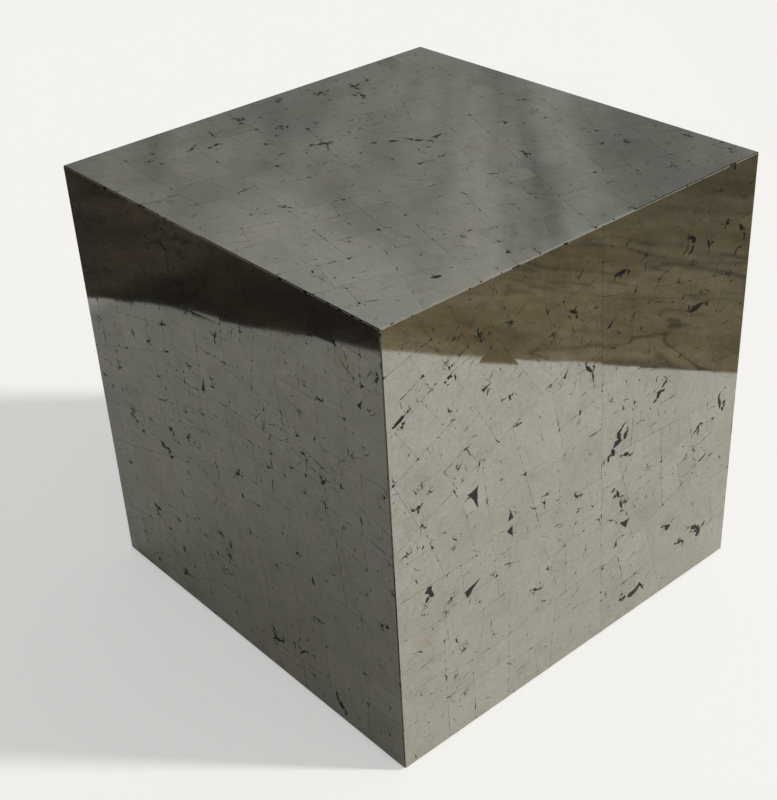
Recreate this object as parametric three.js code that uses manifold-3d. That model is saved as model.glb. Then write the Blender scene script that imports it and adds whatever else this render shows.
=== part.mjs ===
// A cube side table: ground and polished slices of pyrite crystal, laid as a mosaic in black resin over a
// plywood carcass that stands on four hidden screw glides.
// Millimetres, +Z up. The origin is on the floor under the middle of the cube, and -Y is the front.
import * as THREE from "three";
import { ConvexGeometry } from "three/addons/geometries/ConvexGeometry.js";
import { mergeVertices } from "three/addons/utils/BufferGeometryUtils.js";
import Module from "manifold-3d";

const wasm = await Module();
wasm.setup();

// ---------------------------------------------------------------- driving dimensions

const SIDE = 450; // overall width, depth and height
const FLOOR_GAP = 3; // the cladding stops this far above the floor
const GLUE_LINE = 0.3; // between any two pieces that lie against each other
const SLICE = 4; // thickness of the pyrite slices
const BED = 1.7; // black resin that the slices are bedded in
const ARRIS = 1; // flat polished along every outer edge
const BOARD = 15; // carcass plywood
const BASE_BOARD = 12;
const POST = 40; // square corner posts
const RAIL = { thickness: 20, height: 30 };

const GLIDE_TRAVEL = 12; // eight turns of an M10 thread
const STEM = { radius: 5, spare: 12, tip: 1 }; // spare: above the nut when it is wound right out
const SOLE = { radius: 19, thickness: 2 };
const PAD = { radius: 20, thickness: 8, rounding: 1.5 };
const BALL = { radius: 4.2, rise: 5.9, mouth: 3.94 }; // rise: its centre above the pad's underside
const NECK_RADIUS = 2.8;
const COLLAR = { acrossFlats: 17, height: 4 };
const NUT = { flangeRadius: 11, flange: 1.5, barrelRadius: 6, barrel: 10.4, boreRadius: 5.3 };
const GLIDE_INSET = 75; // from the table's sides to a glide's axis

const BASE_SCREW = { shank: 2, head: 4, headDepth: 2.4, length: 30, tip: 4 };
const TOP_SCREW = { shank: 2.25, head: 4.5, headDepth: 2.7, length: 45, tip: 5 };
const SCREW_CLEARANCE = 0.3;
const RECESS = { arm: 2.3, width: 0.9, depth: 1.8 }; // cross recess in a screw's head
const BASE_SCREW_SPREAD = 90; // from the middle of a rail to each of its two screws

// ---------------------------------------------------------------- places worked out from them

const half = SIDE / 2;
const bedOuter = half - SLICE - GLUE_LINE;
const carcassOuter = bedOuter - BED - GLUE_LINE;
const carcassInner = carcassOuter - BOARD;
const postOuter = carcassInner - GLUE_LINE;
const postCentre = postOuter - POST / 2;
const railCentre = postOuter - RAIL.thickness / 2;
const railLength = 2 * (postOuter - POST - GLUE_LINE);

const padBottom = SOLE.thickness + GLUE_LINE;
const padTop = padBottom + PAD.thickness;
const ballCentre = padBottom + BALL.rise;
const collarBottom = padTop + PAD.rounding;
const collarTop = collarBottom + COLLAR.height;
const nutBottom = collarTop + GLUE_LINE;
const baseBottom = nutBottom + NUT.flange + GLUE_LINE;
const baseTop = baseBottom + BASE_BOARD;
const frameBottom = baseTop + GLUE_LINE;

const bedTop = SIDE - SLICE - GLUE_LINE;
const carcassTop = bedTop - BED - GLUE_LINE;
const sideBoardTop = carcassTop - BOARD - GLUE_LINE;
const glideCentre = half - GLIDE_INSET;
const nutTop = nutBottom + NUT.flange + NUT.barrel;
const stemTop = nutTop + GLIDE_TRAVEL + STEM.spare;

const SIDES = ["front", "right", "back", "left"]; // each a quarter turn from the one before
const CORNERS = [
  { name: "front_left", x: -1, y: -1 },
  { name: "front_right", x: 1, y: -1 },
  { name: "back_right", x: 1, y: 1 },
  { name: "back_left", x: -1, y: 1 },
];

// ---------------------------------------------------------------- materials

const material = (color, roughness, metalness) =>
  new THREE.MeshStandardMaterial({ color, roughness, metalness });
const pyrite = material(0xb4ae9c, 0.12, 1);
const resin = material(0x1b1b1d, 0.3, 0);
const plywood = material(0xc9a877, 0.7, 0);
const softwood = material(0xd8bd8a, 0.75, 0);
const zinc = material(0xc3c5c8, 0.35, 1);
const nylon = material(0x17181a, 0.5, 0);
const felt = material(0x3a3a3c, 0.95, 0);

// ---------------------------------------------------------------- solids

function solidOf(geometry) {
  const bare = geometry.index ? geometry.toNonIndexed() : geometry.clone();
  bare.deleteAttribute("normal");
  bare.deleteAttribute("uv");
  const merged = mergeVertices(bare, 1e-4);
  return new wasm.Manifold(
    new wasm.Mesh({
      numProp: 3,
      vertProperties: new Float32Array(merged.attributes.position.array),
      triVerts: new Uint32Array(merged.index.array),
    }),
  );
}

function geometryOf(solid) {
  const { vertProperties, triVerts } = solid.getMesh();
  return new THREE.BufferGeometry()
    .setAttribute("position", new THREE.BufferAttribute(vertProperties, 3))
    .setIndex(new THREE.BufferAttribute(triVerts, 1));
}

const cut = (geometry, cutters) =>
  geometryOf(cutters.reduce((solid, cutter) => solid.subtract(solidOf(cutter)), solidOf(geometry)));

const join = (first, second) => geometryOf(solidOf(first).add(solidOf(second)));

// A shape turned about Z, from [radius, height] points given upwards along its outside.
const turned = (points, segments = 32) =>
  new THREE.LatheGeometry(points.map(([r, z]) => new THREE.Vector2(r, z)), segments).rotateX(Math.PI / 2);

const roundBar = (radius, low, high, segments = 32) =>
  turned([[0, low], [radius, low], [radius, high], [0, high]], segments);

// A slab in the XY plane with its outer face at z = 0. Its edges lean in at 45 degrees to meet the next
// slab, apart from a square foot, and its outer edges have a flat arris.
function mitredSlab({ width, low, high, thickness, arris = 0, squareFoot = false }) {
  const shift = GLUE_LINE * Math.SQRT1_2;
  const levels = [[thickness, thickness + shift]];
  if (arris > 0) levels.push([0, arris], [(arris - shift) / 2, (arris + shift) / 2]);
  else levels.push([0, shift]);
  const corners = levels.flatMap(([depth, inset]) =>
    [-1, 1].flatMap((side) => {
      const x = side * (width / 2 - inset);
      return [
        new THREE.Vector3(x, squareFoot ? low : low + inset, -depth),
        new THREE.Vector3(x, high - inset, -depth),
      ];
    }),
  );
  return new ConvexGeometry(corners);
}

// A countersunk wood screw lying along Z with its head's face at z = 0 and its point up.
function woodScrew({ shank, head, headDepth, length, tip }) {
  const body = turned([[0, 0], [head, 0], [shank, headDepth], [shank, length - tip], [0, length]], 20);
  const arm = (turn) => new THREE.BoxGeometry(2 * RECESS.arm, RECESS.width, 2 * RECESS.depth).rotateZ(turn);
  return cut(body, [arm(0), arm(Math.PI / 2)]);
}

// The hole that such a screw goes in, from just outside its head's face.
function screwHole({ shank, head, headDepth, length }) {
  const wide = head + SCREW_CLEARANCE;
  const narrow = shank + SCREW_CLEARANCE;
  const end = length + SCREW_CLEARANCE;
  return turned([[0, -1], [wide, -1], [wide, 0.1], [narrow, headDepth + 0.1], [narrow, end], [0, end]], 20);
}

// ---------------------------------------------------------------- glide

function glideSole() {
  return roundBar(SOLE.radius, 0, SOLE.thickness, 40);
}

// A nylon disc with a socket that the stem's ball snaps into.
function glidePad() {
  const room = GLUE_LINE;
  const socket = BALL.radius + room;
  const from = Math.asin((padTop - ballCentre) / socket); // where the socket's wall meets the mouth
  const wall = Array.from({ length: 9 }, (_, i) => {
    const angle = from - ((from + Math.PI / 2) * i) / 8;
    return [socket * Math.cos(angle), ballCentre + socket * Math.sin(angle)];
  });
  wall[0][0] = Math.min(wall[0][0], BALL.mouth);
  wall[8][0] = 0;
  return turned(
    [
      [0, padBottom],
      [PAD.radius, padBottom],
      [PAD.radius, padTop - PAD.rounding],
      [PAD.radius - PAD.rounding, padTop],
      ...wall,
    ],
    40,
  );
}

// An M10 stem: the ball in the pad, a neck, a hexagon to turn it by, and the threaded length.
function glideStem() {
  const neckAt = Math.acos(NECK_RADIUS / BALL.radius);
  const ball = Array.from({ length: 9 }, (_, i) => {
    const angle = -Math.PI / 2 + ((neckAt + Math.PI / 2) * i) / 8;
    return [BALL.radius * Math.cos(angle), ballCentre + BALL.radius * Math.sin(angle)];
  });
  ball[0][0] = 0;
  const insideCollar = (collarBottom + collarTop) / 2;
  const bar = turned([
    ...ball,
    [NECK_RADIUS, insideCollar],
    [STEM.radius, insideCollar],
    [STEM.radius, stemTop - STEM.tip],
    [STEM.radius - STEM.tip, stemTop],
    [0, stemTop],
  ]);
  const corner = COLLAR.acrossFlats / Math.sqrt(3);
  const hexagon = new THREE.CylinderGeometry(corner, corner, COLLAR.height, 6)
    .rotateX(Math.PI / 2)
    .translate(0, 0, insideCollar);
  return join(bar, hexagon);
}

// A flanged nut, pressed into the base board from below so that the load seats its flange.
function insertNut() {
  const flangeTop = nutBottom + NUT.flange;
  return turned([
    [NUT.boreRadius, nutBottom],
    [NUT.flangeRadius, nutBottom],
    [NUT.flangeRadius, flangeTop],
    [NUT.barrelRadius, flangeTop],
    [NUT.barrelRadius, nutTop],
    [NUT.boreRadius, nutTop],
    [NUT.boreRadius, nutBottom],
  ]);
}

// ---------------------------------------------------------------- carcass

const quarterTurns = (count) => (count * Math.PI) / 2;

const baseScrews = SIDES.flatMap((side, quarter) =>
  [-1, 1].map((hand, i) => ({
    name: `base_screw_${side}_${i + 1}`,
    place: new THREE.Vector3(hand * BASE_SCREW_SPREAD, -railCentre, baseBottom).applyAxisAngle(
      new THREE.Vector3(0, 0, 1),
      quarterTurns(quarter),
    ),
  })),
);

function topBoard() {
  const board = new THREE.BoxGeometry(2 * carcassOuter, 2 * carcassOuter, BOARD);
  const holes = CORNERS.map(({ x, y }) =>
    screwHole(TOP_SCREW).rotateX(Math.PI).translate(x * postCentre, y * postCentre, BOARD / 2),
  );
  return cut(board, holes);
}

function cornerPost() {
  const height = sideBoardTop - frameBottom;
  const pilot = screwHole(TOP_SCREW).rotateX(Math.PI).translate(0, 0, carcassTop - frameBottom - height / 2);
  return cut(new THREE.BoxGeometry(POST, POST, height), [pilot]);
}

function baseBoard() {
  const board = new THREE.BoxGeometry(2 * postOuter, 2 * postOuter, BASE_BOARD).translate(
    0,
    0,
    baseBottom + BASE_BOARD / 2,
  );
  const forNuts = CORNERS.map(({ x, y }) =>
    roundBar(NUT.barrelRadius + GLUE_LINE, baseBottom - 1, baseTop + 1).translate(
      x * glideCentre,
      y * glideCentre,
      0,
    ),
  );
  const forScrews = baseScrews.map(({ place }) => screwHole(BASE_SCREW).translate(...place));
  return cut(board, [...forNuts, ...forScrews]);
}

function baseRail() {
  const rail = new THREE.BoxGeometry(railLength, RAIL.thickness, RAIL.height);
  const middle = frameBottom + RAIL.height / 2;
  const pilots = [-1, 1].map((hand) =>
    screwHole(BASE_SCREW).translate(hand * BASE_SCREW_SPREAD, 0, baseBottom - middle),
  );
  return cut(rail, pilots);
}

// ---------------------------------------------------------------- assembly

const table = new THREE.Group();

function put(parent, name, geometry, finish, x = 0, y = 0, z = 0) {
  const mesh = new THREE.Mesh(geometry, finish);
  mesh.name = name;
  mesh.position.set(x, y, z);
  parent.add(mesh);
  return mesh;
}

// The top's layers lie flat, and the sides' are stood up with their foot on the floor gap.
const skin = { width: SIDE, thickness: SLICE, arris: ARRIS };
const bedding = { width: 2 * bedOuter, thickness: BED };
put(table, "pyrite_mosaic_top", mitredSlab({ ...skin, low: -half, high: half }), pyrite, 0, 0, SIDE);
put(table, "resin_bed_top", mitredSlab({ ...bedding, low: -bedOuter, high: bedOuter }), resin, 0, 0, bedTop);
put(table, "carcass_top_board", topBoard(), plywood, 0, 0, carcassTop - BOARD / 2);

const sideBoardHeight = sideBoardTop - FLOOR_GAP;
const sideBoardMiddle = (sideBoardTop + FLOOR_GAP) / 2;
SIDES.forEach((side, quarter) => {
  const face = new THREE.Group();
  face.rotation.z = quarterTurns(quarter);
  table.add(face);

  const slices = mitredSlab({ ...skin, low: FLOOR_GAP, high: SIDE, squareFoot: true });
  put(face, `pyrite_mosaic_${side}`, slices, pyrite, 0, -half).rotation.x = Math.PI / 2;
  const bed = mitredSlab({ ...bedding, low: FLOOR_GAP, high: bedTop, squareFoot: true });
  put(face, `resin_bed_${side}`, bed, resin, 0, -bedOuter).rotation.x = Math.PI / 2;

  // The front and back boards run the whole width, and the other two fit between them.
  const runsWhole = quarter % 2 === 0;
  const boardLength = 2 * (runsWhole ? carcassOuter : carcassInner - GLUE_LINE);
  const board = new THREE.BoxGeometry(boardLength, BOARD, sideBoardHeight);
  put(face, `carcass_${side}_board`, board, plywood, 0, BOARD / 2 - carcassOuter, sideBoardMiddle);
  put(face, `base_rail_${side}`, baseRail(), softwood, 0, -railCentre, frameBottom + RAIL.height / 2);
});

put(table, "base_board", baseBoard(), plywood);
for (const { name, place } of baseScrews) {
  put(table, name, woodScrew(BASE_SCREW), zinc, ...place);
}

for (const { name, x, y } of CORNERS) {
  const px = x * postCentre;
  const py = y * postCentre;
  put(table, `corner_post_${name}`, cornerPost(), softwood, px, py, (sideBoardTop + frameBottom) / 2);
  put(table, `top_screw_${name}`, woodScrew(TOP_SCREW).rotateX(Math.PI), zinc, px, py, carcassTop);

  const glide = new THREE.Group();
  glide.position.set(x * glideCentre, y * glideCentre, 0);
  table.add(glide);
  put(glide, `insert_nut_${name}`, insertNut(), zinc);
  put(glide, `glide_stem_${name}`, glideStem(), zinc);
  put(glide, `glide_pad_${name}`, glidePad(), nylon);
  put(glide, `glide_sole_${name}`, glideSole(), felt);
}

export default table;
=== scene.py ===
import math
import random

import bmesh
import bpy
from mathutils import Matrix, Vector, noise
from mathutils.geometry import delaunay_2d_cdt


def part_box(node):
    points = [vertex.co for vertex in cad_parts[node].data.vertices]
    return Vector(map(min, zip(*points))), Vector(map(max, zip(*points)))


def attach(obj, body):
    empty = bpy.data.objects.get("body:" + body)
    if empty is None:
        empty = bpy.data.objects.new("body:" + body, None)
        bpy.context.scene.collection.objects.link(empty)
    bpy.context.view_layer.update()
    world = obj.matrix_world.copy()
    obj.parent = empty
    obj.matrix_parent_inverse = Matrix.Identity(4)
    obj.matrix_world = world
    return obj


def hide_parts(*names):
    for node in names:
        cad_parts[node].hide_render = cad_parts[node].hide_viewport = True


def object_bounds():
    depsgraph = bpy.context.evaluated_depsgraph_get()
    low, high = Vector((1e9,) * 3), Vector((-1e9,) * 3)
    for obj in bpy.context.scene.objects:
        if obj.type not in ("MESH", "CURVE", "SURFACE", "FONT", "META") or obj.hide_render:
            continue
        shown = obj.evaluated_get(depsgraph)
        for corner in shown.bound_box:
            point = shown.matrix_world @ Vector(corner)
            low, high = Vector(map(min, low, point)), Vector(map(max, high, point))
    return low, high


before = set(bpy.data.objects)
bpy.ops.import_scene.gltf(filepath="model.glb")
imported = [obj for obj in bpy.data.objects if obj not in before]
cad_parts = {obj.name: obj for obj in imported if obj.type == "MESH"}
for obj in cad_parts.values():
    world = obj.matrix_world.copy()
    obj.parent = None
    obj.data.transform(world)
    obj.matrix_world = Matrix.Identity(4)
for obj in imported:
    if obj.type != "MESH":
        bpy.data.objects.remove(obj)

# A cube side table. Five of its faces are a mosaic of polished pyrite slices bedded in black resin, over
# a plywood carcass on four screw glides. Everything is in metres, +Z up, with the front face towards -Y.

cad_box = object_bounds()

MM = 0.001
SIDE = cad_box[1].z
HALF = SIDE / 2
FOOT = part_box("pyrite_mosaic_front")[0].z  # the cladding stops this far above the floor
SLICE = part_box("pyrite_mosaic_front")[1].y + HALF
BED_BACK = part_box("resin_bed_front")[1].y + HALF
ARRIS = 1 * MM  # flat polished along every outer edge
MITRE_GAP = 0.13 * MM  # on each side of the mitre
RESIN_DIP = 0.05 * MM  # resin is softer than pyrite, so polishing takes it lower

SIDES = ["front", "right", "back", "left"]
CORNERS = ["front_left", "front_right", "back_right", "back_left"]


# ---------------------------------------------------------------- node trees


class Wire:
    """A node's output, on which arithmetic adds Math nodes."""

    def __init__(self, graph, socket):
        self.graph, self.socket = graph, socket

    def __add__(self, other):
        return self.graph.maths("ADD", self, other)

    def __sub__(self, other):
        return self.graph.maths("SUBTRACT", self, other)

    def __rsub__(self, other):
        return self.graph.maths("SUBTRACT", other, self)

    def __mul__(self, other):
        return self.graph.maths("MULTIPLY", self, other)

    def __truediv__(self, other):
        return self.graph.maths("DIVIDE", self, other)

    def __pow__(self, other):
        return self.graph.maths("POWER", self, other)

    __radd__ = __add__
    __rmul__ = __mul__


class Graph:
    """A shader or geometry tree that is written as expressions."""

    def __init__(self, tree):
        self.tree = tree

    def plug(self, socket, value):
        if isinstance(value, Wire):
            self.tree.links.new(value.socket, socket)
        else:
            socket.default_value = value

    def node(self, kind, settings, sockets):
        """A new node. Its settings are set first, because some of them change which sockets it has."""
        made = self.tree.nodes.new(kind)
        for key, value in settings.items():
            setattr(made, key, value)
        for key, value in sockets.items():
            self.plug(made.inputs[key], value)
        return made

    def add(self, kind, settings=None, sockets=None, out=0):
        return Wire(self, self.node(kind, settings or {}, sockets or {}).outputs[out])

    def maths(self, operation, *values):
        return self.add("ShaderNodeMath", {"operation": operation}, dict(enumerate(values)))

    def vector(self, operation, *values, out=0):
        sockets = {"Scale": values[1]} if operation == "SCALE" else dict(enumerate(values[1:], 1))
        return self.add("ShaderNodeVectorMath", {"operation": operation}, {0: values[0], **sockets}, out)

    def clamp(self, value, low, high, to_low=0.0, to_high=1.0):
        """The value's place between low and high, eased and kept between to_low and to_high."""
        return self.add(
            "ShaderNodeMapRange",
            {"interpolation_type": "SMOOTHSTEP"},
            {"Value": value, 1: low, 2: high, 3: to_low, 4: to_high},
        )

    def noise(self, at, scale, detail=3.0, roughness=0.55, distortion=0.0):
        sockets = {"Vector": at, "Scale": scale, "Detail": detail, "Roughness": roughness}
        return self.add("ShaderNodeTexNoise", {}, {**sockets, "Distortion": distortion})

    def stretched(self, at, size, turn=(0.0, 0.0, 0.0)):
        return self.add("ShaderNodeMapping", {}, {"Vector": at, "Rotation": turn, "Scale": size})


class Finish(Graph):
    """A material with one Principled shader."""

    def __init__(self, name):
        self.material = bpy.data.materials.new(name)
        self.material.use_nodes = True
        super().__init__(self.material.node_tree)
        self.shader = next(n for n in self.tree.nodes if n.type == "BSDF_PRINCIPLED")
        self.here = self.add("ShaderNodeTexCoord", out=3)

    def set(self, **sockets):
        for name, value in sockets.items():
            self.plug(self.shader.inputs[name.replace("_", " ")], value)
        return self

    def blend(self, amount, first, second, kind="MIX"):
        """One colour laid over another."""
        settings = {"data_type": "RGBA", "blend_type": kind, "clamp_factor": True}
        made = self.node("ShaderNodeMix", settings, {0: amount})
        for socket, value in ((made.inputs[6], first), (made.inputs[7], second)):
            self.plug(socket, value if isinstance(value, Wire) else (*value, 1.0))
        return Wire(self, made.outputs[2])

    def times(self, colour, amount):
        return self.vector("SCALE", colour, amount)

    def noise_colour(self, at, scale):
        """A vector that wanders about zero."""
        wander = self.add("ShaderNodeTexNoise", {}, {"Vector": at, "Scale": scale}, 1)
        return self.vector("SUBTRACT", wander, (0.5, 0.5, 0.5))

    def leaning(self, lean):
        """The surface's own normal, tipped by a slice's lean."""
        normal = self.add("ShaderNodeNewGeometry", out=1)
        return self.vector("NORMALIZE", self.vector("ADD", normal, lean))

    def bump(self, height, depth, normal=None):
        """The surface's normal where height rises to depth, in metres."""
        sockets = {"Height": height, "Distance": depth, "Strength": 1.0}
        if normal is not None:
            sockets["Normal"] = normal
        return self.add("ShaderNodeBump", {}, sockets)


# ---------------------------------------------------------------- finishes


def polished_pyrite():
    """Brassy grey metal, a little different on each slice, ground flat and buffed by hand."""
    f = Finish("polished pyrite")
    # slice_look holds each slice's random brightness times the painted shade on its joint walls and the
    # painted dark reflection on its upright arrises, then its warmth and dullness.
    look = f.add("ShaderNodeAttribute", {"attribute_name": "slice_look"}, out=1)
    parts = f.node("ShaderNodeSeparateXYZ", {}, {0: look})
    tone_and_painted_shade, warmth, dullness = (Wire(f, parts.outputs[i]) for i in range(3))
    lean = f.add("ShaderNodeAttribute", {"attribute_name": "slice_lean"}, out=1)

    clouds = f.noise(f.here, 22.0, 4.0, 0.6, 0.4)
    grain = f.noise(f.here, 420.0, 5.0, 0.65)
    own = f.vector("ADD", f.here, f.times(look, 0.7))  # gives each slice a figure of its own
    blotch = f.noise(own, 55.0, 5.0, 0.62, 0.8)
    streak = f.noise(f.stretched(own, (300.0, 34.0, 210.0), (0.4, 0.6, 0.5)), 1.0, 4.0, 0.6, 0.6)
    warmer = f.clamp(clouds * 0.8 + warmth * 0.25, 0.25, 0.8)
    pale = f.blend(warmer, (0.72, 0.705, 0.65), (0.70, 0.673, 0.595))
    pale = f.blend(f.clamp(blotch, 0.48, 0.70) * 0.42, pale, (0.55, 0.51, 0.415))
    figure = f.clamp(clouds, 0.3, 0.7, 0.93, 1.05) * f.clamp(streak, 0.3, 0.7, 0.95, 1.045)
    colour = f.times(pale, tone_and_painted_shade * f.clamp(grain, 0.2, 0.8, 0.92, 1.06) * figure)

    # Iron stain seeps out here and there.
    stain = f.clamp(f.noise(f.here, 9.0, 3.0, 0.5, 0.8), 0.66, 0.80)
    colour = f.blend(stain * 0.35, colour, (0.34, 0.25, 0.11))
    # Pinholes too small to hold resin, and the stone's own cleavage.
    pinholes = f.clamp(f.noise(f.here, 800.0, 2.0, 0.5), 0.64, 0.71) * f.clamp(clouds, 0.38, 0.56)
    cleavage = f.noise(f.stretched(f.here, (1100.0, 90.0, 700.0), (0.5, 0.45, 0.7)), 1.0, 2.0)
    cleavage = f.clamp(cleavage, 0.66, 0.76) * f.clamp(f.noise(f.here, 18.0), 0.45, 0.6)
    colour = f.blend(f.maths("MAXIMUM", pinholes * 0.6, cleavage * 0.4), colour, (0.08, 0.075, 0.06))

    swirls = f.noise(f.stretched(f.here, (60.0, 60.0, 60.0)), 1.0, 6.0, 0.7, 2.5)
    gloss = 0.036 + dullness * 0.02 + f.clamp(swirls, 0.45, 0.8) * 0.025 + stain * 0.05
    ripple = f.bump(f.noise(f.here, 30.0, 1.0), 0.022 * MM, f.leaning(lean))
    f.set(Base_Color=colour, Metallic=1.0, Roughness=gloss, Normal=f.bump(swirls, 0.0012 * MM, ripple))
    return f.material


def black_resin():
    """Polyester tinted nearly black, with some stone dust in it."""
    f = Finish("black resin")
    dust = f.noise(f.here, 60.0, 4.0, 0.6)
    colour = f.blend(f.clamp(dust, 0.45, 0.75), (0.008, 0.008, 0.009), (0.045, 0.045, 0.046))
    speck = f.clamp(f.noise(f.here, 700.0, 2.0), 0.66, 0.72)
    colour = f.blend(speck * 0.5, colour, (0.16, 0.155, 0.14))
    rough = f.clamp(dust, 0.3, 0.8, 0.28, 0.5)
    f.set(Base_Color=colour, Roughness=rough, Normal=f.bump(f.noise(f.here, 500.0), 0.02 * MM))
    return f.material


def birch_plywood(name, thickness_axis, grain_axis):
    """Rotary-cut birch veneers, with the plies showing on the cut edges."""
    f = Finish(name)
    along = f.stretched(f.here, tuple(0.05 if i == grain_axis else 1.0 for i in range(3)))
    figure = f.noise(along, 24.0, 4.0, 0.6, 1.2)
    pores = f.clamp(f.noise(along, 900.0, 3.0, 0.7), 0.60, 0.72)
    veneer = f.blend(f.clamp(figure, 0.35, 0.65), (0.62, 0.45, 0.26), (0.73, 0.57, 0.37))
    veneer = f.blend(pores * 0.35, veneer, (0.36, 0.23, 0.11))

    place = f.node("ShaderNodeSeparateXYZ", {}, {0: f.here})
    depth = Wire(f, place.outputs[thickness_axis])
    ply = f.maths("PINGPONG", depth + f.noise(f.here, 9.0) * 0.4 * MM, PLY)
    plies = f.blend(f.clamp(ply, 0.35 * PLY, 0.65 * PLY), (0.66, 0.49, 0.29), (0.30, 0.17, 0.08))
    fuzz = f.noise(f.here, 520.0, 4.0, 0.7)
    plies = f.times(plies, f.clamp(fuzz, 0.3, 0.7, 0.82, 1.1))

    facing = f.node("ShaderNodeSeparateXYZ", {}, {0: f.add("ShaderNodeNewGeometry", out=1)})
    on_edge = f.maths("LESS_THAN", f.maths("ABSOLUTE", Wire(f, facing.outputs[thickness_axis])), 0.5)
    height = figure * 0.4 + pores * -0.6 + fuzz * on_edge
    f.set(Base_Color=f.blend(on_edge, veneer, plies), Roughness=0.55 + on_edge * 0.25)
    return f.set(Normal=f.bump(height, 0.12 * MM)).material


PLY = 1.4 * MM


def pine(name, grain_axis):
    """Planed pine, its rings running the length of the piece."""
    f = Finish(name)
    across = f.stretched(f.here, tuple(0.0 if i == grain_axis else 1.0 for i in range(3)))
    along = f.stretched(f.here, tuple(0.08 if i == grain_axis else 1.0 for i in range(3)))
    pith = f.vector("LENGTH", f.vector("ADD", across, (0.21, 0.13, -0.09)), out=1)
    ring = f.maths("FRACT", (pith + f.noise(along, 14.0, 2.0) * 9 * MM) / (3.6 * MM))
    late_wood = ring ** 3
    colour = f.blend(late_wood, (0.72, 0.53, 0.31), (0.47, 0.26, 0.11))
    fibre = f.noise(along, 800.0, 3.0, 0.7)
    colour = f.times(colour, f.clamp(fibre, 0.3, 0.7, 0.86, 1.08))
    f.set(Base_Color=colour, Roughness=0.5 + f.clamp(fibre, 0.3, 0.7) * 0.2)
    return f.set(Normal=f.bump(fibre + late_wood, 0.05 * MM)).material


def zinc_plate():
    """Bright zinc over steel, passivated a little unevenly."""
    f = Finish("zinc plate")
    film = f.noise(f.here, 160.0, 3.0, 0.6, 0.6)
    scuffs = f.clamp(f.noise(f.stretched(f.here, (1.0, 1.0, 0.12)), 2600.0, 3.0, 0.7), 0.55, 0.75)
    colour = f.blend(f.clamp(film, 0.35, 0.65), (0.60, 0.62, 0.66), (0.68, 0.66, 0.60))
    colour = f.times(colour, 1.0 - scuffs * 0.25)
    f.set(Base_Color=colour, Metallic=1.0, Roughness=0.24 + film * 0.12 + scuffs * 0.15)
    return f.set(Normal=f.bump(f.noise(f.here, 1800.0), 0.01 * MM)).material


def black_nylon():
    """Moulded nylon with a fine spark-eroded texture."""
    f = Finish("black nylon")
    texture = f.noise(f.here, 2400.0, 2.0, 0.6)
    scuffs = f.clamp(f.noise(f.here, 90.0, 5.0, 0.7), 0.58, 0.72)
    f.set(Base_Color=f.blend(scuffs * 0.5, (0.018, 0.018, 0.020), (0.075, 0.075, 0.078)))
    return f.set(Roughness=0.42 + texture * 0.15 + scuffs * 0.1, Normal=f.bump(texture, 0.03 * MM)).material


def grey_felt():
    """Pressed wool, with its fibres in every direction."""
    f = Finish("grey felt")
    bent = f.vector("ADD", f.here, f.times(f.noise_colour(f.here, 300.0), 0.004))
    one_way = f.noise(f.stretched(bent, (1.0, 0.15, 1.0)), 3200.0, 2.0, 0.6)
    other_way = f.noise(f.stretched(bent, (0.15, 1.0, 1.0)), 3200.0, 2.0, 0.6)
    fibres = f.maths("MAXIMUM", one_way, other_way)
    matting = f.noise(f.here, 260.0, 3.0)
    colour = f.blend(f.clamp(fibres, 0.5, 0.72), (0.028, 0.028, 0.030), (0.115, 0.115, 0.12))
    f.set(Base_Color=f.times(colour, 0.7 + matting * 0.6), Roughness=0.95, Sheen_Weight=0.3)
    return f.set(Normal=f.bump(fibres + matting, 0.25 * MM)).material


# ---------------------------------------------------------------- the polished faces


class Face:
    """One clad face. A point on it is given across and up, as seen from outside."""

    def __init__(self, name):
        self.name = name
        self.flat = name == "top"
        self.left, self.right = ARRIS - HALF, HALF - ARRIS
        self.low, self.high = (self.left, self.right) if self.flat else (FOOT, SIDE - ARRIS)
        self.turn = Matrix() if self.flat else Matrix.Rotation(SIDES.index(name) * math.pi / 2, 4, "Z")

    def outline(self):
        left, right, low, high = self.left, self.right, self.low, self.high
        return [Vector(p) for p in ((left, low), (right, low), (right, high), (left, high))]

    def from_top_left(self, across, down):
        """A place given in millimetres from the face's upper left corner."""
        return Vector((across * MM - HALF, self.high + ARRIS - down * MM))

    def edges_at(self, point):
        """Whether a point lies on an edge with an arris, and whether it lies on any edge."""
        sides = min(abs(point.x - self.left), abs(point.x - self.right)) < TOUCHING
        top, foot = abs(point.y - self.high) < TOUCHING, abs(point.y - self.low) < TOUCHING
        return sides or top or (foot and self.flat), sides or top or foot

    def place(self, point, depth):
        """Where a point goes at a depth behind the polish: out over the arris, then in along the mitre."""
        reach = min(HALF - ARRIS + depth, HALF - MITRE_GAP - depth) / (HALF - ARRIS)
        if self.flat:
            return Vector((point.x * reach, point.y * reach, SIDE - depth))
        full = SIDE - ARRIS - FOOT
        grown = full + (HALF - ARRIS) * (reach - 1)
        up = FOOT + (point.y - FOOT) * grown / full
        return self.turn @ Vector((point.x * reach, depth - HALF, up))


ARRIS_DEPTH = (ARRIS - MITRE_GAP) / 2  # where the arris meets the mitre
TOUCHING = 1e-7


def pointing(degrees):
    angle = math.radians(degrees)
    return Vector((math.cos(angle), math.sin(angle)))


def span(outline, along):
    marks = [p @ along for p in outline]
    return max(marks) - min(marks)


def area(outline):
    return sum(a.cross(b) for a, b in zip(outline, outline[1:] + outline[:1])) / 2


def sawn(outline, through, along):
    """The two parts of a convex outline on either side of a saw cut."""
    across = Vector((-along.y, along.x))
    parts = ([], [])
    for a, b in zip(outline, outline[1:] + outline[:1]):
        high, next_high = (a - through) @ across, (b - through) @ across
        parts[high < 0].append(a)
        if high * next_high < 0:
            cut = a.lerp(b, high / (high - next_high))
            parts[0].append(cut)
            parts[1].append(cut)
    return parts


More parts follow.
